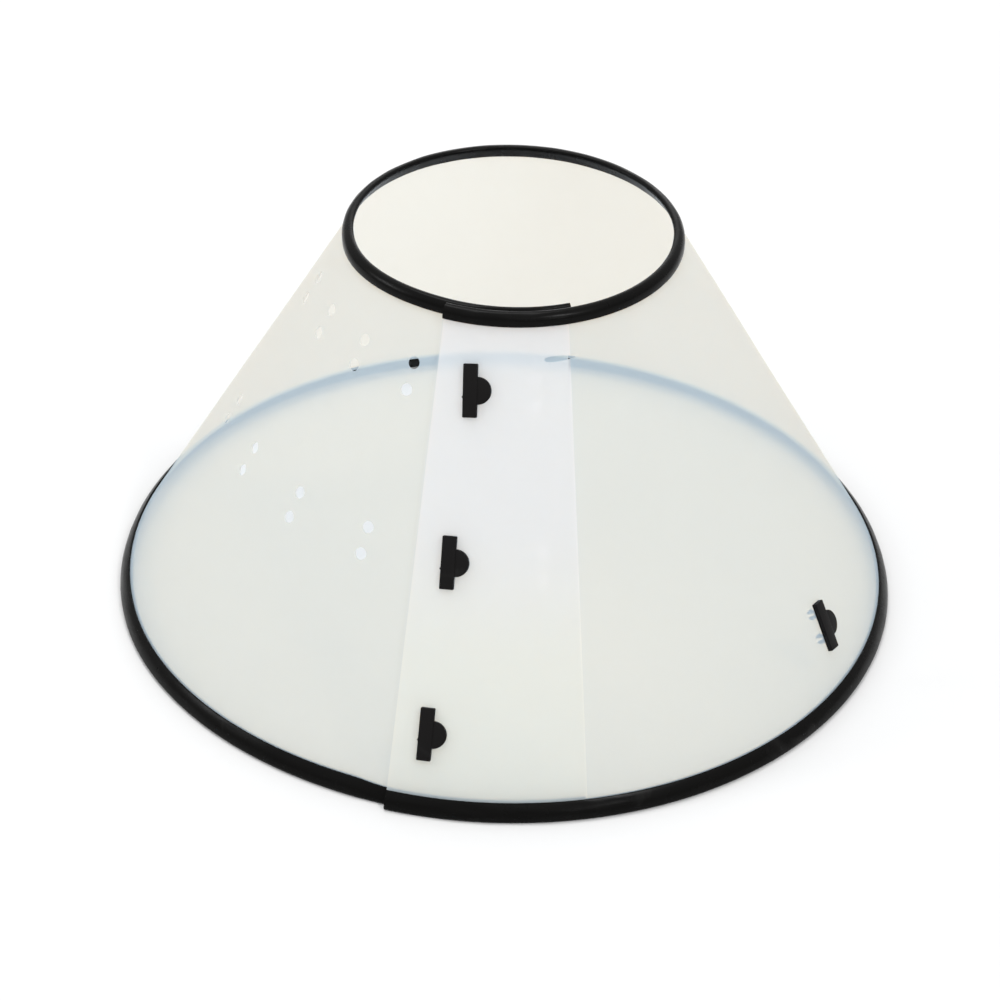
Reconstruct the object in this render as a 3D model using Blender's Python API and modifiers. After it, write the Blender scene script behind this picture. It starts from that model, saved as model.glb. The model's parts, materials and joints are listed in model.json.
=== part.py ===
# Elizabethan collar for a pet: one plastic sheet rolled into an open cone, edge
# bindings along its neck and its rim, and one-piece snap clips through its holes.
#
# The cone stands on its wide rim at z = 0 and its axis is Z. The sheet's two ends
# lap at the front, at -Y: the outer flap lies on the inner flap. Angles are in
# degrees from -Y towards +X. "Slope" is the distance up the wall from the rim.

import math

import bmesh
import bpy
from mathutils import Matrix, Vector

# Cone, in metres, to the middle of the sheet in its outer layer
RIM_RADIUS = 0.1900
NECK_RADIUS = 0.0746
CONE_HEIGHT = 0.1981

# Sheet and edge bindings
SHEET_THICKNESS = 0.0007
FIT_GAP = 0.0003  # clearance between pieces that touch
BINDING_WALL = 0.00065
RIM_BINDING_WIDTH = 0.0092
NECK_BINDING_WIDTH = 0.0073
LAYER_SPACING = 0.0030  # from one layer's middle to the other's, square to the wall
STEP_START = 285.0  # the inner flap steps inwards between these angles
STEP_END = 336.5

# Hole columns, at equal pitch round the cone
JOIN_COLUMN = -10.9  # the column that the clips join, in both flaps
COLUMN_PITCH = 18.44
INNER_COLUMNS = 6  # in the inner flap: one past the join, the join, and four spares
OUTER_LAP = 0.0157  # from the join column to the outer flap's edge
INNER_LAP = 0.0157  # from the inner flap's last column to its edge

# Hole rows, each row a pair of holes for one clip
LOWER_ROW = 0.0376  # only in the join column
MIDDLE_ROW = 0.1155
UPPER_ROW = 0.1928
HOLE_PITCH = 0.0125
HOLE_RADIUS = 0.00285
HOLE_SIDES = 12
CUTTER_LENGTH = 0.0024

# A tapered slit through the outer flap, below the neck
SLIT_ANGLE = 15.0
SLIT_SLOPE = 0.2069
SLIT_LENGTH = 0.0148
SLIT_HEIGHT = 0.0028
SLIT_TAPER = 0.62  # how much narrower its right end is
SLIT_SIDES = 16

# The spare clip, kept in one layer at the side
SIDE_COLUMN = 61.6
SIDE_SLOPE = 0.0372

# The holes that the clips join are punched a little off the column
UPPER_JOIN = JOIN_COLUMN + 0.3
MIDDLE_JOIN = JOIN_COLUMN
LOWER_JOIN = JOIN_COLUMN - 0.25

# How far each clip and its holes are turned from the column, in degrees about the
# wall's normal; the top of a clip with a positive turn leans towards -X
UPPER_TURN = 5.5
MIDDLE_TURN = 3.0
LOWER_TURN = 1.7
SIDE_TURN = -8.5

# Snap clip: a bar with a half-round thumb tab and two split studs
BAR_LENGTH = 0.0240
BAR_WIDTH = 0.0065
BAR_HEIGHT = 0.0024
BAR_BEVEL = 0.0008
TAB_RADIUS = 0.0062
TAB_THICKNESS = 0.0012
TAB_SIDES = 24
STUD_RADIUS = 0.0020
STUD_HEAD_RADIUS = 0.0025
STUD_TIP_RADIUS = 0.0016
STUD_HEAD_LENGTH = 0.0020
STUD_SLOT_WIDTH = 0.0009
STUD_SLOT_DEPTH = 0.0042
STUD_SIDES = 16

# Fineness of the rolled shapes
COLUMN_STEP = 4.0
STEADY_START = -10.0  # columns between these angles stay radial
STEADY_END = 366.0
EDGE_STEPS = 3  # columns from there to each flap's edge
SHEET_ROWS = 4

SLOPE_ANGLE = math.atan2(CONE_HEIGHT, RIM_RADIUS - NECK_RADIUS)
SLOPE_LENGTH = math.hypot(CONE_HEIGHT, RIM_RADIUS - NECK_RADIUS)
SLOT_HALF = SHEET_THICKNESS / 2 + FIT_GAP
BINDING_HALF = SLOT_HALF + BINDING_WALL
SHEET_INSET = BINDING_WALL + FIT_GAP


def clear_scene():
    for item in list(bpy.data.objects):
        bpy.data.objects.remove(item)


def make_collection(name):
    collection = bpy.data.collections.new(name)
    bpy.context.scene.collection.children.link(collection)
    return collection


def make_material(name, color, roughness):
    material = bpy.data.materials.new(name)
    material.use_nodes = True
    shader = material.node_tree.nodes["Principled BSDF"]
    shader.inputs["Base Color"].default_value = (*color, 1.0)
    shader.inputs["Roughness"].default_value = roughness
    shader.inputs["Metallic"].default_value = 0.0
    return material


def make_object(name, bm, collection):
    mesh = bpy.data.meshes.new(name)
    bm.to_mesh(mesh)
    bm.free()
    item = bpy.data.objects.new(name, mesh)
    collection.objects.link(item)
    return item


def make_cutter(name, bm, collection):
    cutter = make_object(name, bm, collection)
    cutter.hide_render = True
    cutter.display_type = "WIRE"
    return cutter


def add_boolean(item, other, operation):
    boolean = item.modifiers.new(other.name, "BOOLEAN")
    boolean.operation = operation
    boolean.object = other
    boolean.solver = "EXACT"


def smooth(item, sharp_angle):
    item.data.shade_smooth()
    item.data.set_sharp_from_angle(angle=math.radians(sharp_angle))


# ---- the rolled wall ----


def wall_depth(angle):
    """Distance of a layer inside the outer cone, square to the wall."""
    share = (angle - STEP_START) / (STEP_END - STEP_START)
    share = min(max(share, 0.0), 1.0)
    return LAYER_SPACING * share * share * (3.0 - 2.0 * share)


def wall_point(angle, slope, offset):
    """Point of the rolled wall, offset square to the wall from the sheet's middle."""
    sine, cosine = math.sin(SLOPE_ANGLE), math.cos(SLOPE_ANGLE)
    inset = wall_depth(angle) / sine
    radius = RIM_RADIUS - slope * cosine + offset * sine - inset
    height = slope * sine + offset * cosine
    turn = math.radians(angle)
    return Vector((radius * math.sin(turn), -radius * math.cos(turn), height))


def wall_matrix(angle, slope, depth=0.0, twist=0.0):
    """Frame on the wall: X round the cone, Y up the slope, Z outwards, then turned."""
    sine, cosine = math.sin(SLOPE_ANGLE), math.cos(SLOPE_ANGLE)
    turn = math.radians(angle)
    outward = Vector((math.sin(turn), -math.cos(turn), 0.0))
    across = Vector((math.cos(turn), math.sin(turn), 0.0))
    up_slope = Vector((0, 0, sine)) - outward * cosine
    normal = outward * sine + Vector((0, 0, cosine))
    radius = RIM_RADIUS - slope * cosine
    place = outward * radius + Vector((0, 0, slope * sine)) - normal * depth
    matrix = Matrix((across, up_slope, normal)).transposed().to_4x4()
    matrix.translation = place
    return matrix @ Matrix.Rotation(math.radians(twist), 4, "Z")


def column_angles(slope):
    """Angles of the sheet's columns, from the outer flap's edge to the inner's.

    Each flap's edge is cut parallel to its nearest hole column, so its angle
    depends on how far up the wall it is.
    """
    radius = RIM_RADIUS - slope * math.cos(SLOPE_ANGLE)
    first = JOIN_COLUMN - math.degrees(OUTER_LAP / radius)
    last = 360.0 + JOIN_COLUMN + COLUMN_PITCH + math.degrees(INNER_LAP / radius)
    steady_count = round((STEADY_END - STEADY_START) / COLUMN_STEP)
    angles = [first + (STEADY_START - first) * k / EDGE_STEPS for k in range(EDGE_STEPS)]
    angles += [STEADY_START + COLUMN_STEP * k for k in range(steady_count)]
    angles += [STEADY_END + (last - STEADY_END) * k / EDGE_STEPS for k in range(EDGE_STEPS + 1)]
    return angles


def form_grid(columns, rows, place):
    """Grid of columns by rows faces, each vertex put where place(column, row) says."""
    bm = bmesh.new()
    bmesh.ops.create_grid(bm, x_segments=columns, y_segments=rows, size=1.0)
    for vert in bm.verts:
        column = round((vert.co.x + 1.0) / 2.0 * columns)
        row = round((vert.co.y + 1.0) / 2.0 * rows)
        vert.co = place(column, row)
    return bm


def sheet_surface():
    low = SHEET_INSET
    high = SLOPE_LENGTH - SHEET_INSET
    slopes = [low + (high - low) * row / SHEET_ROWS for row in range(SHEET_ROWS + 1)]
    angles = [column_angles(slope) for slope in slopes]

    def place(column, row):
        return wall_point(angles[row][column], slopes[row], 0.0)

    return form_grid(len(angles[0]) - 1, SHEET_ROWS, place)


def add_hole_pair(bm, angle, slope, depth, twist=0.0):
    middle = wall_matrix(angle, slope, depth, twist)
    for side in (-0.5, 0.5):
        centre = middle @ Matrix.Translation((0.0, side * HOLE_PITCH, 0.0))
        bmesh.ops.create_cone(
            bm,
            cap_ends=True,
            segments=HOLE_SIDES,
            radius1=HOLE_RADIUS,
            radius2=HOLE_RADIUS,
            depth=CUTTER_LENGTH,
            matrix=centre,
        )


def add_slit(bm):
    """Cutter for the slit: a flat drop, wide at its left end."""
    drop = bmesh.ops.create_cone(
        bm,
        cap_ends=True,
        segments=SLIT_SIDES,
        radius1=0.5,
        radius2=0.5,
        depth=1.0,
    )["verts"]
    for vert in drop:
        vert.co.y *= 1.0 - SLIT_TAPER * (vert.co.x + 0.5)
    bmesh.ops.scale(bm, vec=(SLIT_LENGTH, SLIT_HEIGHT, CUTTER_LENGTH), verts=drop)
    bmesh.ops.transform(bm, matrix=wall_matrix(SLIT_ANGLE, SLIT_SLOPE), verts=drop)


def hole_cutters(collection):
    bm = bmesh.new()
    joins = (
        (LOWER_JOIN, LOWER_ROW, LOWER_TURN),
        (MIDDLE_JOIN, MIDDLE_ROW, MIDDLE_TURN),
        (UPPER_JOIN, UPPER_ROW, UPPER_TURN),
    )
    for angle, slope, twist in joins:
        add_hole_pair(bm, angle, slope, 0.0, twist)
        add_hole_pair(bm, angle, slope, LAYER_SPACING, twist)
    for column in range(INNER_COLUMNS):
        angle = 360.0 + JOIN_COLUMN + COLUMN_PITCH * (1 - column)
        if column == 1:  # the join column, cut above
            continue
        for slope in (MIDDLE_ROW, UPPER_ROW):
            add_hole_pair(bm, angle, slope, wall_depth(angle))
    add_hole_pair(bm, SIDE_COLUMN, SIDE_SLOPE, 0.0, SIDE_TURN)
    add_slit(bm)
    return make_cutter("hole_cutters", bm, collection)


def make_sheet(parts, cutters, material):
    sheet = make_object("cone_sheet", sheet_surface(), parts)
    solidify = sheet.modifiers.new("thickness", "SOLIDIFY")
    solidify.thickness = SHEET_THICKNESS
    solidify.offset = 0.0
    solidify.use_even_offset = True
    add_boolean(sheet, hole_cutters(cutters), "DIFFERENCE")
    sheet.data.materials.append(material)
    smooth(sheet, 30)
    return sheet


# ---- edge bindings: U-shaped channels that follow the sheet's edges ----


def rim_profile():
    """Closed profile as (slope, offset) points, cut level along its foot."""
    foot = -BINDING_HALF / math.tan(SLOPE_ANGLE)
    return [
        (foot, BINDING_HALF),
        (RIM_BINDING_WIDTH, BINDING_HALF),
        (RIM_BINDING_WIDTH, SLOT_HALF),
        (BINDING_WALL, SLOT_HALF),
        (BINDING_WALL, -SLOT_HALF),
        (RIM_BINDING_WIDTH, -SLOT_HALF),
        (RIM_BINDING_WIDTH, -BINDING_HALF),
        (-foot, -BINDING_HALF),
    ]


def neck_profile():
    mouth = SLOPE_LENGTH - NECK_BINDING_WIDTH
    web = SLOPE_LENGTH - BINDING_WALL
    return [
        (mouth, BINDING_HALF),
        (SLOPE_LENGTH, BINDING_HALF),
        (SLOPE_LENGTH, -BINDING_HALF),
        (mouth, -BINDING_HALF),
        (mouth, -SLOT_HALF),
        (web, -SLOT_HALF),
        (web, SLOT_HALF),
        (mouth, SLOT_HALF),
    ]


def make_binding(name, profile, slope, parts, material):
    angles = column_angles(slope)

    def place(column, row):
        return wall_point(angles[column], *profile[row % len(profile)])

    bm = form_grid(len(angles) - 1, len(profile), place)
    bmesh.ops.remove_doubles(bm, verts=bm.verts, dist=1e-6)
    ends = [edge for edge in bm.edges if edge.is_boundary]
    bmesh.ops.holes_fill(bm, edges=ends, sides=len(profile))
    bmesh.ops.recalc_face_normals(bm, faces=bm.faces)
    binding = make_object(name, bm, parts)
    binding.data.materials.append(material)
    smooth(binding, 30)
    return binding


# ---- snap clips, drawn about the middle of the sheet with Z outwards ----


def stud_profile():
    """Right-hand outline of a stud, from its top, inside the bar, down to its tip."""
    top = SLOT_HALF + BAR_HEIGHT / 2
    shoulder = -(LAYER_SPACING + SLOT_HALF)
    tip = shoulder - STUD_HEAD_LENGTH
    return [
        (0.0, top),
        (STUD_RADIUS, top),
        (STUD_RADIUS, shoulder),
        (STUD_HEAD_RADIUS, shoulder),
        (STUD_HEAD_RADIUS, shoulder - STUD_HEAD_LENGTH / 4),
        (STUD_TIP_RADIUS, tip),
        (0.0, tip),
    ]


def make_stud(name, place, cutters):
    bm = bmesh.new()
    verts = [bm.verts.new((x, 0.0, z)) for x, z in stud_profile()]
    for above, below in zip(verts, verts[1:]):
        bm.edges.new((above, below))
    stud = make_cutter(name, bm, cutters)
    screw = stud.modifiers.new("turn", "SCREW")
    screw.steps = STUD_SIDES
    screw.render_steps = STUD_SIDES
    screw.use_merge_vertices = True
    screw.merge_threshold = 1e-6
    stud.location = (0.0, place, 0.0)
    return stud


def make_slot(name, place, cutters):
    """Box that splits a stud's head and the end of its shank into two prongs."""
    tip = -(LAYER_SPACING + SLOT_HALF) - STUD_HEAD_LENGTH
    bm = bmesh.new()
    bmesh.ops.create_cube(bm, size=1.0)
    size = Vector((4 * STUD_HEAD_RADIUS, STUD_SLOT_WIDTH, 2 * STUD_SLOT_DEPTH))
    bmesh.ops.scale(bm, vec=size, verts=bm.verts)
    bmesh.ops.translate(bm, vec=(0.0, place, tip), verts=bm.verts)
    return make_cutter(name, bm, cutters)


def make_tab(cutters):
    """Thumb tab: a flat disc, of which half stands out of the bar's side."""
    bm = bmesh.new()
    centre = Vector((BAR_WIDTH / 2, 0.0, SLOT_HALF + TAB_THICKNESS / 2))
    bmesh.ops.create_cone(
        bm,
        cap_ends=True,
        segments=TAB_SIDES,
        radius1=TAB_RADIUS,
        radius2=TAB_RADIUS,
        depth=TAB_THICKNESS,
        matrix=Matrix.Translation(centre),
    )
    far_side = Vector((0.0, 0.0, 0.0))
    geometry = bm.verts[:] + bm.edges[:] + bm.faces[:]
    bmesh.ops.bisect_plane(
        bm, geom=geometry, plane_co=far_side, plane_no=(-1, 0, 0), clear_outer=True
    )
    open_edges = [edge for edge in bm.edges if edge.is_boundary]
    bmesh.ops.holes_fill(bm, edges=open_edges)
    bmesh.ops.recalc_face_normals(bm, faces=bm.faces)
    return make_cutter("clip_tab", bm, cutters)


def make_clip_mesh(cutters, material):
    bm = bmesh.new()
    bmesh.ops.create_cube(bm, size=1.0)
    bmesh.ops.scale(bm, vec=(BAR_WIDTH, BAR_LENGTH, BAR_HEIGHT), verts=bm.verts)
    bmesh.ops.translate(bm, vec=(0.0, 0.0, SLOT_HALF + BAR_HEIGHT / 2), verts=bm.verts)
    bar = make_cutter("clip_bar", bm, cutters)
    bevel = bar.modifiers.new("rounding", "BEVEL")
    bevel.width = BAR_BEVEL
    bevel.segments = 2
    add_boolean(bar, make_tab(cutters), "UNION")
    for number, side in enumerate((-0.5, 0.5)):
        place = side * HOLE_PITCH
        add_boolean(bar, make_stud(f"clip_stud_{number}", place, cutters), "UNION")
        add_boolean(bar, make_slot(f"clip_slot_{number}", place, cutters), "DIFFERENCE")
    bpy.context.view_layer.update()
    graph = bpy.context.evaluated_depsgraph_get()
    mesh = bpy.data.meshes.new_from_object(bar.evaluated_get(graph))
    mesh.name = "snap_clip"
    mesh.materials.clear()
    mesh.materials.append(material)
    return mesh


def place_clip(name, mesh, angle, slope, twist, parts):
    """Clip object whose origin is on its sliding axis, in the middle of the wall."""
    clip = bpy.data.objects.new(name, mesh)
    clip.matrix_world = wall_matrix(angle, slope, 0.0, twist)
    parts.objects.link(clip)
    smooth(clip, 30)
    return clip


def main():
    clear_scene()
    parts = make_collection("elizabethan_collar")
    cutters = make_collection("cutters")

    plastic = make_material("milky_plastic", (0.80, 0.80, 0.77), 0.40)
    trim = make_material("black_trim", (0.012, 0.012, 0.011), 0.45)
    clip_plastic = make_material("black_clip", (0.014, 0.014, 0.013), 0.40)

    make_sheet(parts, cutters, plastic)
    make_binding("rim_binding", rim_profile(), RIM_BINDING_WIDTH / 2, parts, trim)
    neck_middle = SLOPE_LENGTH - NECK_BINDING_WIDTH / 2
    make_binding("neck_binding", neck_profile(), neck_middle, parts, trim)

    clip_mesh = make_clip_mesh(cutters, clip_plastic)
    place_clip("lower_seam_clip", clip_mesh, LOWER_JOIN, LOWER_ROW, LOWER_TURN, parts)
    place_clip("middle_seam_clip", clip_mesh, MIDDLE_JOIN, MIDDLE_ROW, MIDDLE_TURN, parts)
    place_clip("upper_seam_clip", clip_mesh, UPPER_JOIN, UPPER_ROW, UPPER_TURN, parts)
    place_clip("side_clip", clip_mesh, SIDE_COLUMN, SIDE_SLOPE, SIDE_TURN, parts)


main()
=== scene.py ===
# Elizabethan collar, seen at rest on a pale floor with its lapped seam to the front.

import json
import math

import bmesh
import bpy
from mathutils import Matrix, Vector, noise


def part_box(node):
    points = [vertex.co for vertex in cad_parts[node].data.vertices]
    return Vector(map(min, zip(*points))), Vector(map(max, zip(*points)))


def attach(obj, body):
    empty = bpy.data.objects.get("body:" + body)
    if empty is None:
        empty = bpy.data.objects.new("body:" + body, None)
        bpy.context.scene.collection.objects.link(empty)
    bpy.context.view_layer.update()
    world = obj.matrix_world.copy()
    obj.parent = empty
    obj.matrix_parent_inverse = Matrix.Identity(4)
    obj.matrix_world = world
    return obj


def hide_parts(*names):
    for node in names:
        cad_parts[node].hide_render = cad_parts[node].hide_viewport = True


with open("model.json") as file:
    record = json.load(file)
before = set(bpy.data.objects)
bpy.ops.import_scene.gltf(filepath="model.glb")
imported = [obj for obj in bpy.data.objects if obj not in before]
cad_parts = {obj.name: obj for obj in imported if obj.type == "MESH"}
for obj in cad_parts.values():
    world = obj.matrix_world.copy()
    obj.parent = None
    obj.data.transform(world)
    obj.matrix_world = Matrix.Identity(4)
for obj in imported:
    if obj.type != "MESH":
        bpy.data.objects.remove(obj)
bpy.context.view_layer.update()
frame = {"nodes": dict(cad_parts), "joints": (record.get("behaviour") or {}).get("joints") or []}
bpy.context.scene.view_settings.view_transform = "Standard"
print("frame loaded:", len(frame["nodes"]), "nodes")


# the rolled wall: the same cone as the frame's, measured from its boxes and joints

sheet = {
    "thickness": 0.0007,
    "inset": 0.00095,  # from the wall's end to the sheet's, inside an edge trim
    "layerSpacing": 0.0030,
    "stepStart": 285.0,  # the inner flap steps inwards between these angles
    "stepEnd": 336.5,
    "outerLap": 0.0157,  # from the join column to the outer flap's edge
    "innerLap": 0.0157,  # from the last column to the inner flap's edge
    "columnPitch": 18.44,
    "lapFaces": 36,  # faces across the lap, in each of its two layers
    "singleFaces": 330,
    "rows": 14,
    "waviness": 0.00018,
    "waveScale": 14.0,
    "calmEnd": 0.12,  # of the way in from each edge, where the waves fade out
    "sharpAngle": 40,
}

middleJoint = next(item for item in frame["joints"] if item["child"] == "middle_seam_clip")
seamNormal = Vector(middleJoint["axis"]).normalized()
slopeCos = seamNormal.z
slopeSin = math.sqrt(1.0 - slopeCos * slopeCos)
joinAngle = math.degrees(math.atan2(seamNormal.x, -seamNormal.y))
sheetLow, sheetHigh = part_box("cone_sheet")
halfSheet = sheet["thickness"] / 2
rimRadius = sheetHigh.x + sheet["inset"] * slopeCos - halfSheet * slopeSin
slopeLength = (sheetHigh.z - halfSheet * slopeCos) / slopeSin + sheet["inset"]


def smoothStep(value, low, high):
    share = min(max((value - low) / (high - low), 0.0), 1.0)
    return share * share * (3.0 - 2.0 * share)


def wallDepth(angle):
    return sheet["layerSpacing"] * smoothStep(angle, sheet["stepStart"], sheet["stepEnd"])


def wallPoint(angle, slope, lift):
    # angle in degrees from the front towards +X, slope up the wall, lift square to it
    radius = rimRadius - slope * slopeCos + lift * slopeSin - wallDepth(angle) / slopeSin
    turn = math.radians(angle)
    height = slope * slopeSin + lift * slopeCos
    return Vector((radius * math.sin(turn), -radius * math.cos(turn), height))


def wallMatrix(angle, slope, depth=0.0, twist=0.0):
    # X round the cone, Y up the slope, Z outwards, then turned about Z
    turn = math.radians(angle)
    outward = Vector((math.sin(turn), -math.cos(turn), 0.0))
    across = Vector((math.cos(turn), math.sin(turn), 0.0))
    upSlope = Vector((0.0, 0.0, slopeSin)) - outward * slopeCos
    normal = outward * slopeSin + Vector((0.0, 0.0, slopeCos))
    place = outward * (rimRadius - slope * slopeCos) + Vector((0.0, 0.0, slope * slopeSin))
    matrix = Matrix((across, upSlope, normal)).transposed().to_4x4()
    matrix.translation = place - normal * depth
    return matrix @ Matrix.Rotation(math.radians(twist), 4, "Z")


def flapAngles(slope):
    # the outer flap's edge and the inner flap's edge, each cut parallel to its hole column
    radius = rimRadius - slope * slopeCos
    first = joinAngle - math.degrees(sheet["outerLap"] / radius)
    last = 360.0 + joinAngle + sheet["columnPitch"] + math.degrees(sheet["innerLap"] / radius)
    return first, last


def makeObject(name, bm):
    mesh = bpy.data.meshes.new(name)
    bm.to_mesh(mesh)
    bm.free()
    item = bpy.data.objects.new(name, mesh)
    bpy.context.scene.collection.objects.link(item)
    return item


def smoothShade(item, sharpAngle):
    item.data.shade_smooth()
    item.data.set_sharp_from_angle(angle=math.radians(sharpAngle))


def applyModifiers(item):
    bpy.context.view_layer.update()
    graph = bpy.context.evaluated_depsgraph_get()
    finished = bpy.data.meshes.new_from_object(item.evaluated_get(graph))
    item.modifiers.clear()
    old = item.data
    item.data = finished
    bpy.data.meshes.remove(old)


# materials


def addNode(nodes, kind, **values):
    node = nodes.new("ShaderNode" + kind)
    for key, value in values.items():
        setattr(node, key, value)
    return node


def mixShaders(nodes, links, factor, first, second):
    mix = addNode(nodes, "MixShader")
    if isinstance(factor, float):
        mix.inputs[0].default_value = factor
    else:
        links.new(factor, mix.inputs[0])
    links.new(first, mix.inputs[1])
    links.new(second, mix.inputs[2])
    return mix.outputs[0]


def newMaterial(name):
    material = bpy.data.materials.new(name)
    material.use_nodes = True
    nodes = material.node_tree.nodes
    return material, nodes, material.node_tree.links, nodes["Principled BSDF"]


def makeGrainGroup():
    # moulded or rolled grain: a height for a bump and a slowly changing value
    group = bpy.data.node_groups.new("surfaceGrain", "ShaderNodeTree")
    face = group.interface
    face.new_socket("Place", in_out="INPUT", socket_type="NodeSocketVector")
    face.new_socket("Grain Scale", in_out="INPUT", socket_type="NodeSocketFloat")
    face.new_socket("Patch Scale", in_out="INPUT", socket_type="NodeSocketFloat")
    face.new_socket("Height", in_out="OUTPUT", socket_type="NodeSocketFloat")
    face.new_socket("Patches", in_out="OUTPUT", socket_type="NodeSocketFloat")
    nodes, links = group.nodes, group.links
    given = nodes.new("NodeGroupInput")
    result = nodes.new("NodeGroupOutput")
    fine = addNode(nodes, "TexNoise")
    fine.inputs["Detail"].default_value = 3.0
    patch = addNode(nodes, "TexNoise")
    patch.inputs["Detail"].default_value = 4.0
    patch.inputs["Roughness"].default_value = 0.6
    for noiseNode, scale in ((fine, "Grain Scale"), (patch, "Patch Scale")):
        links.new(given.outputs["Place"], noiseNode.inputs["Vector"])
        links.new(given.outputs[scale], noiseNode.inputs["Scale"])
    links.new(fine.outputs["Fac"], result.inputs["Height"])
    links.new(patch.outputs["Fac"], result.inputs["Patches"])
    return group


def makeScuffGroup():
    # thin rubbed streaks, where noise in the given place rises above a level
    group = bpy.data.node_groups.new("rubbedScuffs", "ShaderNodeTree")
    face = group.interface
    face.new_socket("Place", in_out="INPUT", socket_type="NodeSocketVector")
    face.new_socket("Density", in_out="INPUT", socket_type="NodeSocketFloat")
    face.new_socket("Mask", in_out="OUTPUT", socket_type="NodeSocketFloat")
    nodes, links = group.nodes, group.links
    given, result = nodes.new("NodeGroupInput"), nodes.new("NodeGroupOutput")
    streak = addNode(nodes, "TexNoise")
    streak.inputs["Scale"].default_value = 30.0
    streak.inputs["Detail"].default_value = 6.0
    streak.inputs["Distortion"].default_value = 1.2
    edge = addNode(nodes, "Math", operation="SUBTRACT")
    gain = addNode(nodes, "Math", operation="MULTIPLY", use_clamp=True)
    links.new(given.outputs["Place"], streak.inputs["Vector"])
    links.new(streak.outputs["Fac"], edge.inputs[0])
    edge.inputs[1].default_value = 0.62
    links.new(edge.outputs[0], gain.inputs[0])
    links.new(given.outputs["Density"], gain.inputs[1])
    links.new(gain.outputs[0], result.inputs["Mask"])
    return group


grainGroup = makeGrainGroup()
scuffGroup = makeScuffGroup()


def placeGroup(nodes, group):
    node = nodes.new("ShaderNodeGroup")
    node.node_tree = group
    return node


def addGrain(nodes, links, values, shader):
    # a fine bump, and where a finish gives its limits, a roughness that changes slowly
    place = addNode(nodes, "TexCoord").outputs["Object"]
    grain = placeGroup(nodes, grainGroup)
    links.new(place, grain.inputs["Place"])
    grain.inputs["Grain Scale"].default_value = values["grainScale"]
    grain.inputs["Patch Scale"].default_value = values["patchScale"]
    bump = addNode(nodes, "Bump")
    bump.inputs["Distance"].default_value = values["bumpHeight"]
    bump.inputs["Strength"].default_value = 0.6
    links.new(grain.outputs["Height"], bump.inputs["Height"])
    links.new(bump.outputs["Normal"], shader.inputs["Normal"])
    if "roughLow" in values:
        rough = addNode(nodes, "MapRange")
        links.new(grain.outputs["Patches"], rough.inputs["Value"])
        rough.inputs["From Min"].default_value = 0.3
        rough.inputs["From Max"].default_value = 0.7
        rough.inputs["To Min"].default_value = values["roughLow"]
        rough.inputs["To Max"].default_value = values["roughHigh"]
        links.new(rough.outputs["Result"], shader.inputs["Roughness"])
    return place


milky = {
    # the haze's colour, and what shows through it: one layer, the lap's foot, the lap's top; the lap's
    # lighter colours are painted light, standing in for the light that bounces between its two layers
    "haze": ((0.728, 0.862, 0.957, 1.0), (0.875, 0.965, 1.0, 1.0), (0.875, 0.93, 0.985, 1.0)),
    "tint": ((0.98, 0.71, 0.38, 1.0), (1.0, 0.76, 0.46, 1.0), (1.0, 0.82, 0.68, 1.0)),
    "lapFade": (0.28, 0.60),  # of the way up, where the lap's foot turns into its top
    "hazeShare": 0.61,  # how much of the wall hides what is behind it
    "lampHaze": 0.40,  # how much of it stops light that crosses the wall
    "backShare": 0.5,  # how much of the haze is lit from its far side
    "shine": 0.3,
    "roughLow": 0.34,
    "roughHigh": 0.46,
    "grainScale": 1400.0,
    "patchScale": 18.0,
    "bumpHeight": 0.00002,
}


def lapRamp(nodes, links, lapped, colors):
    ramp = addNode(nodes, "ValToRGB")
    links.new(lapped.outputs["Fac"], ramp.inputs["Fac"])
    ramp.color_ramp.elements.new(0.5)
    for stop, color in zip(ramp.color_ramp.elements, colors):
        stop.color = color
    return ramp.outputs["Color"]


def makeMilkyPlastic():
    material, nodes, links, gloss = newMaterial("milkyPlastic")
    addGrain(nodes, links, milky, gloss)
    # painted light: the "lapped" value picks the lap's lighter haze and tint, for the light bouncing
    # between its two layers
    lapped = addNode(nodes, "Attribute", attribute_name="lapped")
    color = lapRamp(nodes, links, lapped, milky["haze"])
    links.new(color, gloss.inputs["Base Color"])
    gloss.inputs["Specular IOR Level"].default_value = milky["shine"]
    glow = addNode(nodes, "BsdfTranslucent")
    links.new(color, glow.inputs["Color"])
    clear = addNode(nodes, "BsdfTransparent")
    tint = lapRamp(nodes, links, lapped, milky["tint"])
    links.new(tint, clear.inputs["Color"])
    passing = addNode(nodes, "BsdfTransparent")
    inside = addNode(nodes, "BsdfTransparent")
    geometry = addNode(nodes, "NewGeometry")
    path = addNode(nodes, "LightPath")
    haze = mixShaders(nodes, links, milky["backShare"], gloss.outputs[0], glow.outputs[0])
    seen = mixShaders(nodes, links, milky["hazeShare"], clear.outputs[0], haze)
    lit = mixShaders(nodes, links, milky["lampHaze"], passing.outputs[0], haze)
    wall = mixShaders(nodes, links, path.outputs["Is Camera Ray"], lit, seen)
    whole = mixShaders(nodes, links, geometry.outputs["Backfacing"], wall, inside.outputs[0])
    links.new(whole, nodes["Material Output"].inputs["Surface"])
    return material


cutEdge = {
    "color": (0.80, 0.80, 0.80, 1.0),
    "rough": 0.5,
    "grainScale": 2500.0,
    "patchScale": 40.0,
    "bumpHeight": 0.00003,
}


def makeCutEdge():
    material, nodes, links, gloss = newMaterial("sheetCutEdge")
    gloss.inputs["Base Color"].default_value = cutEdge["color"]
    gloss.inputs["Roughness"].default_value = cutEdge["rough"]
    addGrain(nodes, links, cutEdge, gloss)
    return material


trim = {
    "color": (0.0028, 0.0027, 0.0025, 1.0),
    "worn": (0.030, 0.030, 0.029, 1.0),
    "grainScale": 1800.0,
    "patchScale": 60.0,
    "bumpHeight": 0.00004,
    "roughLow": 0.20,
    "roughHigh": 0.34,
    "shine": 0.075,
    "scuffs": 3.0,
}

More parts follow.
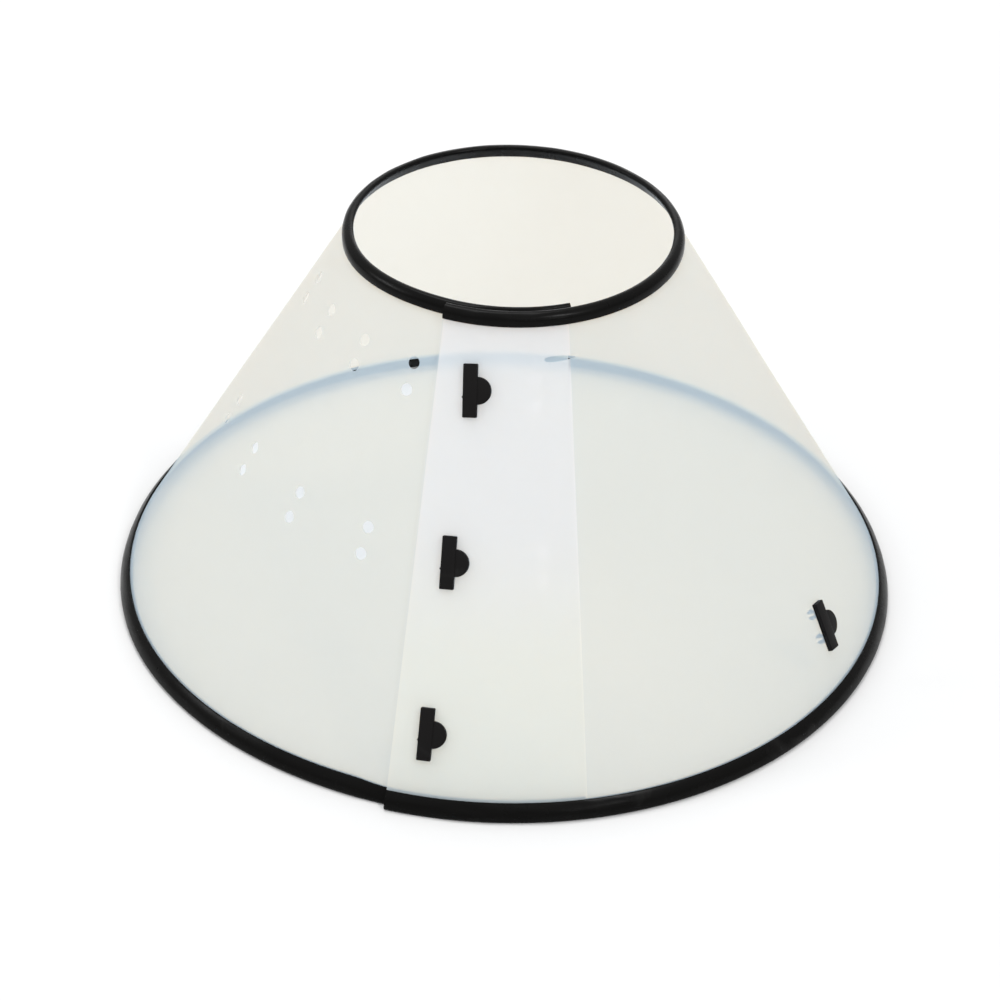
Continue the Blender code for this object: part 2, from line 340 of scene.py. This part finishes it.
moulded = {
    "color": (0.0060, 0.0055, 0.0055, 1.0),
    "worn": (0.025, 0.025, 0.024, 1.0),
    "grainScale": 2600.0,
    "patchScale": 120.0,
    "bumpHeight": 0.00003,
    "roughLow": 0.42,
    "roughHigh": 0.55,
    "shine": 0.10,
    "scuffs": 3.0,
}


def makeBlack(name, values):
    material, nodes, links, gloss = newMaterial(name)
    place = addGrain(nodes, links, values, gloss)
    gloss.inputs["Specular IOR Level"].default_value = values["shine"]
    scuffs = placeGroup(nodes, scuffGroup)
    links.new(place, scuffs.inputs["Place"])
    scuffs.inputs["Density"].default_value = values["scuffs"]
    worn = addNode(nodes, "Mix", data_type="RGBA")
    links.new(scuffs.outputs["Mask"], worn.inputs["Factor"])
    worn.inputs[6].default_value = values["color"]
    worn.inputs[7].default_value = values["worn"]
    links.new(worn.outputs[2], gloss.inputs["Base Color"])
    return material


milkyPlastic = makeMilkyPlastic()
sheetCutEdge = makeCutEdge()
blackTrim = makeBlack("blackTrim", trim)
blackClip = makeBlack("blackClip", moulded)
print("materials made")


# the rolled sheet and its size holes

holes = {
    "radius": 0.00285,
    "sides": 40,
    "pitch": 0.0125,
    "middleRow": 0.1155,
    "upperRow": 0.1928,
    "columns": 6,
    "depth": 0.0024,
}


def clipSeat(clip):
    # where the clip sits on the wall, from the middle of its node's bar
    axis = next(item["axis"] for item in frame["joints"] if item["child"] == clip)
    angle = math.degrees(math.atan2(axis[0], -axis[1]))
    wall = wallMatrix(angle, 0.0).inverted()
    ups = [(wall @ vert.co).y for vert in frame["nodes"][clip].data.vertices]
    return angle, (min(ups) + max(ups)) / 2


clipTurns = {
    "upper_seam_clip": 5.5,  # degrees about the wall's normal, top towards -X
    "middle_seam_clip": 3.0,
    "lower_seam_clip": 1.7,
    "side_clip": -8.5,
}
clipSeats = {clip: clipSeat(clip) for clip in clipTurns}


def addHolePair(bm, angle, slope, depth, twist=0.0):
    middle = wallMatrix(angle, slope, depth, twist)
    for side in (-0.5, 0.5):
        bmesh.ops.create_cone(
            bm,
            cap_ends=True,
            segments=holes["sides"],
            radius1=holes["radius"],
            radius2=holes["radius"],
            depth=holes["depth"],
            matrix=middle @ Matrix.Translation((0.0, side * holes["pitch"], 0.0)),
        )


slit = {
    "angle": 15.0,
    "slope": 0.2074,
    "length": 0.0148,
    "height": 0.0036,
    "taper": 0.62,  # how much narrower its right end is
    "sides": 40,
}


def addSlit(bm):
    drop = bmesh.ops.create_cone(
        bm, cap_ends=True, segments=slit["sides"], radius1=0.5, radius2=0.5, depth=1.0
    )["verts"]
    for vert in drop:
        vert.co.y *= 1.0 - slit["taper"] * (vert.co.x + 0.5)
    bmesh.ops.scale(bm, vec=(slit["length"], slit["height"], holes["depth"]), verts=drop)
    bmesh.ops.transform(bm, matrix=wallMatrix(slit["angle"], slit["slope"]), verts=drop)


def makeHoleCutter():
    bm = bmesh.new()
    for clip, (angle, slope) in clipSeats.items():
        addHolePair(bm, angle, slope, 0.0, clipTurns[clip])
        if clip != "side_clip":
            addHolePair(bm, angle, slope, sheet["layerSpacing"], clipTurns[clip])
    for column in range(holes["columns"]):
        angle = 360.0 + joinAngle + sheet["columnPitch"] * (1 - column)
        if column != 1:
            addHolePair(bm, angle, holes["middleRow"], wallDepth(angle))
            addHolePair(bm, angle, holes["upperRow"], wallDepth(angle))
    addSlit(bm)
    return makeObject("holeCutter", bm)


def columnAngle(column, slope):
    # whole faces on either side of each flap's edge
    first, last = flapAngles(slope)
    lap, single = sheet["lapFaces"], sheet["singleFaces"]
    if column <= lap:
        return first + (last - 360.0 - first) * column / lap
    if column <= lap + single:
        return last - 360.0 + (first + 720.0 - last) * (column - lap) / single
    return first + 360.0 + (last - 360.0 - first) * (column - lap - single) / lap


def makeSheet():
    bm = bmesh.new()
    lap, rows = sheet["lapFaces"], sheet["rows"]
    columns = 2 * lap + sheet["singleFaces"]
    bmesh.ops.create_grid(bm, x_segments=columns, y_segments=rows, size=1.0, calc_uvs=True)
    # the lap's faces get a "lapped" value that rises up the lap; the material turns it into painted
    # light
    lapped = bm.loops.layers.float.new("lapped")
    for face in bm.faces:
        column = (face.calc_center_median().x + 1.0) / 2.0 * columns
        for corner in face.loops:
            up = (corner.vert.co.y + 1.0) / 2.0
            share = 0.5 + 0.5 * smoothStep(up, *milky["lapFade"])
            corner[lapped] = share if column < lap else 0.0
    low, high = sheet["inset"], slopeLength - sheet["inset"]
    for vert in bm.verts:
        column, up = round((vert.co.x + 1.0) / 2.0 * columns), (vert.co.y + 1.0) / 2.0
        slope = low + (high - low) * up
        angle = columnAngle(column, slope)
        level = wallPoint(angle, slope, 0.0)
        calm = smoothStep(min(up, 1.0 - up), 0.0, sheet["calmEnd"])
        wave = noise.noise(level * sheet["waveScale"]) * sheet["waviness"] * calm
        vert.co = wallPoint(angle, slope, wave)
    item = makeObject("rolled_sheet", bm)
    item.data.materials.append(milkyPlastic)
    item.data.materials.append(sheetCutEdge)
    solid = item.modifiers.new("thickness", "SOLIDIFY")
    solid.thickness = sheet["thickness"]
    solid.offset = 0.0
    solid.use_even_offset = True
    solid.material_offset_rim = 1
    cutter = makeHoleCutter()
    cut = item.modifiers.new("holes", "BOOLEAN")
    cut.operation = "DIFFERENCE"
    cut.object = cutter
    applyModifiers(item)
    bpy.data.objects.remove(cutter)
    smoothShade(item, sheet["sharpAngle"])
    return item


rolledSheet = makeSheet()
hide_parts("cone_sheet")
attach(rolledSheet, "collar")
print("sheet made")


# edge trims: soft U-shaped strips pushed over the sheet's edges

strip = {
    "halfThickness": 0.0013,
    "rimWidth": 0.0092,
    "neckWidth": 0.0073,
    "slotHalf": 0.00037,
    "web": 0.00065,
    "lipRadius": 0.00030,
    "cornerSteps": 4,
    "roundSteps": 10,
    "wallSteps": 6,
    "stepDegrees": 1.25,
    "wrinkle": 0.00022,
    "lapWrinkle": 0.00055,  # added on the outer flap
    "wrinkleAlong": 55.0,  # how closely the wrinkles follow each other
    "wrinkleAcross": 240.0,
    "lapEnd": (28.0, 34.0),  # degrees from a flap's edge, where the lap's changes fade out
    "rimCrown": 0.0009,  # on the outer face
    "neckCrown": 0.0015,
    "tuckedCrown": 0.1,  # of the crown, on the inner flap
    "tuckedHeight": 0.86,  # of the rim strip's height, on the inner flap
    "innerReach": 1.8,  # degrees that the neck strip runs past its flap
    "sharpAngle": 50,
}


def arcPoints(centre, radius, start, end, steps):
    turns = [math.radians(start + (end - start) * k / steps) for k in range(steps + 1)]
    return [(centre[0] + radius * math.cos(a), centre[1] + radius * math.sin(a)) for a in turns]


def stripProfile(mouth):
    # closed outline as (height, lift): height runs from the strip's closed end to its mouth
    half, lip, slot = strip["halfThickness"], strip["lipRadius"], strip["slotHalf"]
    web = strip["web"]
    outline = arcPoints((half, 0.0), half, 90.0, 270.0, strip["roundSteps"])
    walls = strip["wallSteps"]
    run = [half + (mouth - lip - half) * k / walls for k in range(1, walls)]
    outline += [(height, -half) for height in run]
    outline += arcPoints((mouth - lip, lip - half), lip, -90.0, 0.0, strip["cornerSteps"])
    outline += [(mouth - lip / 2, -slot), (web, -slot), (web, slot), (mouth - lip / 2, slot)]
    outline += arcPoints((mouth - lip, half - lip), lip, 0.0, 90.0, strip["cornerSteps"])
    outline += [(height, half) for height in run[::-1]]
    return outline


def makeStrip(name, node, atNeck):
    width = strip["neckWidth"] if atNeck else strip["rimWidth"]
    crown = strip["neckCrown"] if atNeck else strip["rimCrown"]
    tuckedHeight = 1.0 if atNeck else strip["tuckedHeight"]
    profile = stripProfile(width)
    half = strip["halfThickness"]
    foot = half / slopeSin - half  # keeps the round end level with the floor
    first, last = flapAngles(slopeLength - width / 2 if atNeck else width / 2)
    last += strip["innerReach"] if atNeck else 0.0
    lapStart, lapEnd = strip["lapEnd"]
    steps = round((last - first) / strip["stepDegrees"])
    bm = bmesh.new()
    bmesh.ops.create_grid(bm, x_segments=steps, y_segments=len(profile), size=1.0)
    for vert in bm.verts:
        along = (vert.co.x + 1.0) / 2.0
        row = round((vert.co.y + 1.0) / 2.0 * len(profile)) % len(profile)
        angle = first + (last - first) * along
        height, lift = profile[row]
        tucked = smoothStep(angle, last - lapEnd, last - lapStart)
        if lift > 0.0:
            arch = math.sin(math.pi * height / width) * min(lift / half, 1.0)
            lift += crown * arch * (1.0 - (1.0 - strip["tuckedCrown"]) * tucked)
        height *= 1.0 - (1.0 - tuckedHeight) * tucked
        slope = slopeLength - height if atNeck else height + foot
        arc = math.radians(angle) * (rimRadius - slope * slopeCos)
        lapped = smoothStep(angle, first, first + 1.0)
        lapped -= smoothStep(angle, first + lapStart, first + lapEnd)
        amount = strip["wrinkle"] + strip["lapWrinkle"] * max(lapped, 0.0)
        side = 1.0 if lift > 0.0 else -1.0
        sample = (arc * strip["wrinkleAlong"], height * strip["wrinkleAcross"], side * 3.7)
        offset = Vector((0.0, 0.0, 9.1 if atNeck else 0.0))  # other wrinkles at the neck
        fold = noise.noise(Vector(sample) + offset)
        free = smoothStep(abs(lift), strip["slotHalf"], half)
        vert.co = wallPoint(angle, slope, lift - abs(fold) * amount * free * side)
    bmesh.ops.remove_doubles(bm, verts=bm.verts, dist=1e-6)
    ends = [edge for edge in bm.edges if edge.is_boundary]
    bmesh.ops.holes_fill(bm, edges=ends, sides=len(profile))
    bmesh.ops.recalc_face_normals(bm, faces=bm.faces)
    item = makeObject(name, bm)
    item.data.materials.append(blackTrim)
    smoothShade(item, strip["sharpAngle"])
    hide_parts(node)
    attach(item, "collar")


makeStrip("rim_trim", "rim_binding", False)
makeStrip("neck_trim", "neck_binding", True)
print("edge trims made")


# snap clips, built about the middle of the wall with Z outwards and Y up the slope

clip = {
    "barLength": 0.0240,
    "barWidth": 0.0065,
    "barHeight": 0.0023,
    "seat": 0.00037,  # the bar's underside
    "cornerRadius": 0.0005,
    "bevelSteps": 3,
    "tabRadius": 0.0062,
    "tabThickness": 0.0019,
    "tabCentre": 0.00325,
    "tabRound": 0.00035,
    "tabSides": 64,
    "studRadius": 0.0020,
    "studSides": 36,
    "headRadius": 0.0026,
    "headTop": -0.00365,
    "tip": -0.00565,
    "tipRadius": 0.0017,
    "slotWidth": 0.0023,
    "slotFoot": -0.0012,
    "nubRadius": 0.0006,
    "nubPlace": -0.0029,  # down the bar's edge from its middle
    "nubLift": 0.0008,
    "sharpAngle": 35,
}


def bevelEdges(bm, edges, width):
    bmesh.ops.bevel(
        bm,
        geom=edges,
        offset=width,
        offset_type="OFFSET",
        affect="EDGES",
        segments=clip["bevelSteps"],
        profile=0.5,
        material=-1,
    )


def makeBar():
    bm = bmesh.new()
    bmesh.ops.create_cube(bm, size=1.0)
    size = (clip["barWidth"], clip["barLength"], clip["barHeight"])
    bmesh.ops.scale(bm, vec=size, verts=bm.verts)
    bmesh.ops.translate(bm, vec=(0.0, 0.0, clip["seat"] + clip["barHeight"] / 2), verts=bm.verts)
    upright = [e for e in bm.edges if abs(e.verts[0].co.z - e.verts[1].co.z) > 1e-6]
    bevelEdges(bm, upright, clip["cornerRadius"])
    top = clip["seat"] + clip["barHeight"]
    rim = [e for e in bm.edges if all(abs(v.co.z - top) < 1e-7 for v in e.verts)]
    bevelEdges(bm, rim, clip["cornerRadius"] * 0.8)
    return makeObject("clipBar", bm)


def makeTab():
    bm = bmesh.new()
    centre = Matrix.Translation((clip["tabCentre"], 0.0, clip["seat"] + clip["tabThickness"] / 2))
    bmesh.ops.create_cone(
        bm,
        cap_ends=True,
        segments=clip["tabSides"],
        radius1=clip["tabRadius"],
        radius2=clip["tabRadius"],
        depth=clip["tabThickness"],
        matrix=centre,
    )
    top = clip["seat"] + clip["tabThickness"]
    rim = [e for e in bm.edges if all(abs(v.co.z - top) < 1e-7 for v in e.verts)]
    bevelEdges(bm, rim, clip["tabRound"])
    whole = bm.verts[:] + bm.edges[:] + bm.faces[:]
    bmesh.ops.bisect_plane(bm, geom=whole, plane_no=(-1.0, 0.0, 0.0), clear_outer=True)
    openEdges = [e for e in bm.edges if e.is_boundary]
    bmesh.ops.holes_fill(bm, edges=openEdges)
    bmesh.ops.recalc_face_normals(bm, faces=bm.faces)
    return makeObject("clipTab", bm)


def makeStud(place):
    # a turned shank and barbed head, split lengthwise into two prongs
    bm = bmesh.new()
    headTop, tip = clip["headTop"], clip["tip"]
    shank, head = clip["studRadius"], clip["headRadius"]
    outline = [(0.0, clip["seat"] + 0.001), (shank, clip["seat"] + 0.001), (shank, headTop + 0.0002)]
    outline += [(shank + 0.0001, headTop), (head - 0.0001, headTop), (head, headTop - 0.0002)]
    outline += [(head, headTop - 0.0005), (clip["tipRadius"], tip + 0.0001)]
    outline += [(clip["tipRadius"] - 0.0002, tip), (0.0, tip)]
    verts = [bm.verts.new((x, 0.0, z)) for x, z in outline]
    edges = [bm.edges.new(pair) for pair in zip(verts, verts[1:])]
    bmesh.ops.spin(
        bm,
        geom=verts + edges,
        cent=(0.0, 0.0, 0.0),
        axis=(0.0, 0.0, 1.0),
        angle=math.tau,
        steps=clip["studSides"],
        use_merge=True,
    )
    bmesh.ops.remove_doubles(bm, verts=bm.verts, dist=1e-6)
    bmesh.ops.recalc_face_normals(bm, faces=bm.faces)
    bmesh.ops.translate(bm, vec=(0.0, place, 0.0), verts=bm.verts)
    return makeObject("clipStud", bm)


def makeSlot(place):
    bm = bmesh.new()
    bmesh.ops.create_cube(bm, size=1.0)
    depth = clip["slotFoot"] - clip["tip"] + 0.001
    bmesh.ops.scale(bm, vec=(0.01, clip["slotWidth"], depth), verts=bm.verts)
    bmesh.ops.translate(bm, vec=(0.0, place, clip["slotFoot"] - depth / 2), verts=bm.verts)
    return makeObject("clipSlot", bm)


def makeNub():
    # the small stub left where the moulding was broken off its runner
    bm = bmesh.new()
    place = Matrix.Translation((-clip["barWidth"] / 2, clip["nubPlace"], clip["seat"] + clip["nubLift"]))
    bmesh.ops.create_uvsphere(bm, u_segments=12, v_segments=8, radius=clip["nubRadius"], matrix=place)
    return makeObject("clipNub", bm)


def makeClipMesh():
    bar = makeBar()
    helpers = [(makeTab(), "UNION"), (makeNub(), "UNION")]
    for side in (-0.5, 0.5):
        helpers.append((makeStud(side * holes["pitch"]), "UNION"))
        helpers.append((makeSlot(side * holes["pitch"]), "DIFFERENCE"))
    for helper, operation in helpers:
        step = bar.modifiers.new(helper.name, "BOOLEAN")
        step.operation = operation
        step.object = helper
    applyModifiers(bar)
    mesh = bar.data
    bpy.data.objects.remove(bar)
    for helper, _ in helpers:
        bpy.data.objects.remove(helper)
    return mesh


def placeClip(node, master):
    mesh = master.copy()
    mesh.transform(wallMatrix(*clipSeats[node], 0.0, clipTurns[node]))
    mesh.materials.clear()
    mesh.materials.append(blackClip)
    item = bpy.data.objects.new(node + "_moulding", mesh)
    bpy.context.scene.collection.objects.link(item)
    smoothShade(item, clip["sharpAngle"])
    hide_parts(node)
    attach(item, node)


masterClip = makeClipMesh()
for node in clipSeats:
    placeClip(node, masterClip)
print("clips made")


# floor, lights and camera

stage = {
    "floorSize": 12.0,
    "floorColor": (0.70, 0.70, 0.70, 1.0),
    # painted light: the floor's colour rises to white far from the collar, making up for the lamps'
    # light falling off there
    "paintedLightFloorColor": (1.0, 1.0, 1.0, 1.0),  # beyond the lamps' reach
    "farFloor": (0.55, 1.7),  # metres from the collar where it starts and is reached
    "backdrop": 1.0,
    "horizon": 0.44,  # the studio's light from the side and from straight above
    "zenith": 1.24,
    "lamps": {
        "topLamp": ((-0.2, 0.5, 1.7), 0.8, 8.6),  # place, size, power
        "frontLamp": ((0.7, -0.9, 1.4), 0.20, 5.8),
        "ridgeLamp": ((0.95, -1.76, 1.0), 0.12, 1.8),
        "sideLamp": ((-1.6, -0.1, 1.0), 0.40, 6.0),
        "backLamp": ((0.1, 1.7, 0.6), 0.9, 4.6),
    },
    "lampAim": (0.0, 0.0, 0.1),
}


def makeFloor():
    bm = bmesh.new()
    bmesh.ops.create_grid(bm, x_segments=1, y_segments=1, size=stage["floorSize"] / 2)
    floor = makeObject("floor", bm)
    material, nodes, links, gloss = newMaterial("whiteFloor")
    # painted light: the floor gets brighter with distance from the collar, in place of lamp light
    length = addNode(nodes, "VectorMath", operation="LENGTH")
    links.new(addNode(nodes, "TexCoord").outputs["Object"], length.inputs[0])
    far = addNode(nodes, "MapRange", interpolation_type="SMOOTHSTEP")
    links.new(length.outputs["Value"], far.inputs["Value"])
    far.inputs["From Min"].default_value, far.inputs["From Max"].default_value = stage["farFloor"]
    color = addNode(nodes, "Mix", data_type="RGBA")
    links.new(far.outputs["Result"], color.inputs["Factor"])
    color.inputs[6].default_value = stage["floorColor"]
    color.inputs[7].default_value = stage["paintedLightFloorColor"]
    links.new(color.outputs[2], gloss.inputs["Base Color"])
    gloss.inputs["Roughness"].default_value = 1.0
    gloss.inputs["Specular IOR Level"].default_value = 0.0
    floor.data.materials.append(material)


def makeSky():
    world = bpy.data.worlds.new("studio")
    bpy.context.scene.world = world
    world.use_nodes = True
    nodes, links = world.node_tree.nodes, world.node_tree.links
    nodes.clear()
    seen = addNode(nodes, "Background")
    seen.inputs["Strength"].default_value = stage["backdrop"]
    seen.inputs["Color"].default_value = (1.0, 1.0, 1.0, 1.0)
    lit = addNode(nodes, "Background")
    lit.inputs["Color"].default_value = (1.0, 1.0, 1.0, 1.0)
    parts = addNode(nodes, "SeparateXYZ")
    links.new(addNode(nodes, "TexCoord").outputs["Generated"], parts.inputs[0])
    rise = addNode(nodes, "MapRange")
    links.new(parts.outputs["Z"], rise.inputs["Value"])
    rise.inputs["To Min"].default_value = stage["horizon"]
    rise.inputs["To Max"].default_value = stage["zenith"]
    links.new(rise.outputs["Result"], lit.inputs["Strength"])
    path = addNode(nodes, "LightPath")
    out = addNode(nodes, "OutputWorld")
    sky = mixShaders(nodes, links, path.outputs["Is Camera Ray"], lit.outputs[0], seen.outputs[0])
    links.new(sky, out.inputs["Surface"])


def makeLamp(name, place, size, power):
    lamp = bpy.data.lights.new(name, "AREA")
    lamp.shape = "DISK"
    lamp.size = size
    lamp.energy = power
    item = bpy.data.objects.new(name, lamp)
    item.location = place
    towards = Vector(stage["lampAim"]) - Vector(place)
    item.rotation_euler = towards.to_track_quat("-Z", "Y").to_euler()
    bpy.context.scene.collection.objects.link(item)


view = {
    "lens": 107.44,
    "shiftX": -0.0077,
    "shiftY": -0.0459,
    "elevation": 0.6072,  # radians
    "roll": 0.0263,
    "distance": 7.645,  # in rim radii
    "aimHeight": 0.35,  # in wall heights
}


def makeCamera():
    data = bpy.data.cameras.new("camera")
    data.lens = view["lens"]
    data.sensor_width = 36.0
    data.shift_x = view["shiftX"]
    data.shift_y = view["shiftY"]
    item = bpy.data.objects.new("camera", data)
    back = Vector((0.0, -math.cos(view["elevation"]), math.sin(view["elevation"])))
    right = Vector((1.0, 0.0, 0.0))
    level = Matrix((right, back.cross(right), back)).transposed()
    turned = level @ Matrix.Rotation(view["roll"], 3, "Z")
    item.matrix_world = turned.to_4x4()
    aim = Vector((0.0, 0.0, view["aimHeight"] * slopeLength * slopeSin))
    item.location = back * view["distance"] * rimRadius + aim
    bpy.context.scene.collection.objects.link(item)
    bpy.context.scene.camera = item


makeFloor()
makeSky()
for lampName, lampValues in stage["lamps"].items():
    makeLamp(lampName, *lampValues)
makeCamera()
print("stage made")
